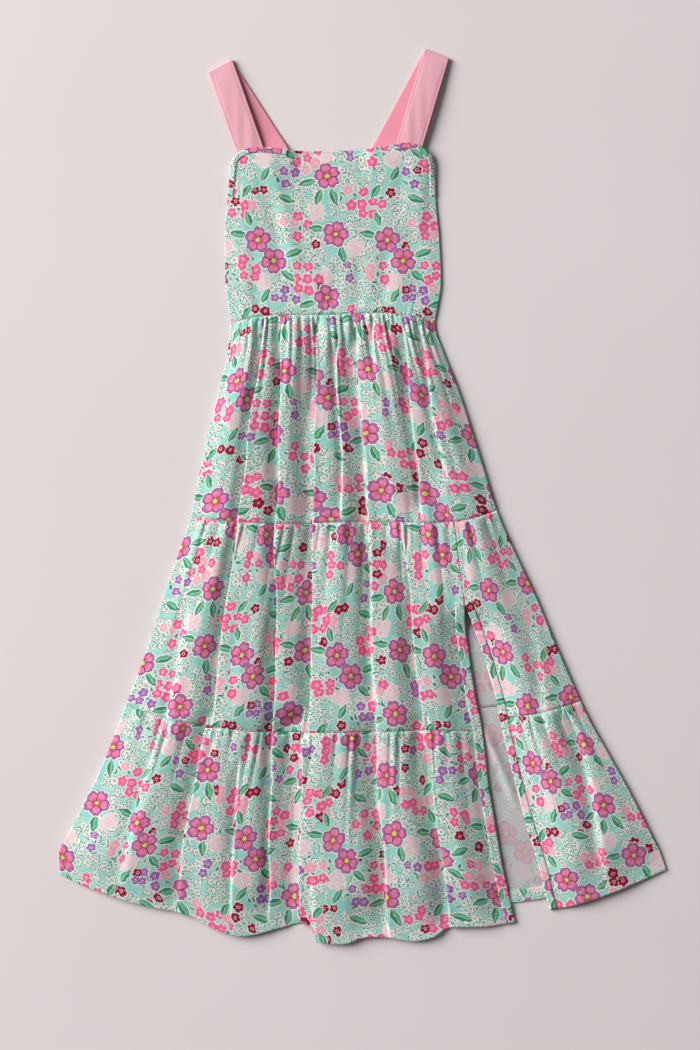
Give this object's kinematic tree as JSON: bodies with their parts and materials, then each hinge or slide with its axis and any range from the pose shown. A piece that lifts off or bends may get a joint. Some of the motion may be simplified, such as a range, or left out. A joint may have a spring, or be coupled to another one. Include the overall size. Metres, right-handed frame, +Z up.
{
  "type": "tiered sleeveless dress",
  "caption": "Sleeveless tiered long dress with wide straps and a leg slit, laid flat: front and back panels, gathered tiers, slit bands and folded straps.",
  "frame": {"origin": "middle of the laid garment's outline, on the surface that it rests on", "axes": "+X to the viewer's right across the garment, +Y from the hem towards the straps, +Z up out of the surface"},
  "size_m": [0.6468, 0.9562, 0.014],
  "materials": {
    "printed_cotton": "soft matte woven cotton with a small floral print on a pale aqua ground",
    "printed_cotton_inside": "wrong side of the print cloth, pale grey with the print showing through faintly",
    "pink_cotton": "plain matte woven cotton, topstitched along both edges"
  },
  "bodies": {
    "root": {"bodice_front": "printed_cotton", "bodice_back": "printed_cotton_inside", "armhole_binding_left": "printed_cotton", "armhole_binding_right": "printed_cotton", "strap_left": "pink_cotton", "strap_right": "pink_cotton", "tier_1_front": "printed_cotton", "tier_1_back": "printed_cotton_inside", "tier_2_front_main": "printed_cotton", "tier_2_front_side": "printed_cotton", "tier_2_back": "printed_cotton_inside", "tier_3_front_main": "printed_cotton", "tier_3_front_side": "printed_cotton", "tier_3_back": "printed_cotton_inside", "slit_band_left": "printed_cotton", "slit_band_right": "printed_cotton", "back_hem_turn_up": "printed_cotton"}
  },
  "joints": []
}
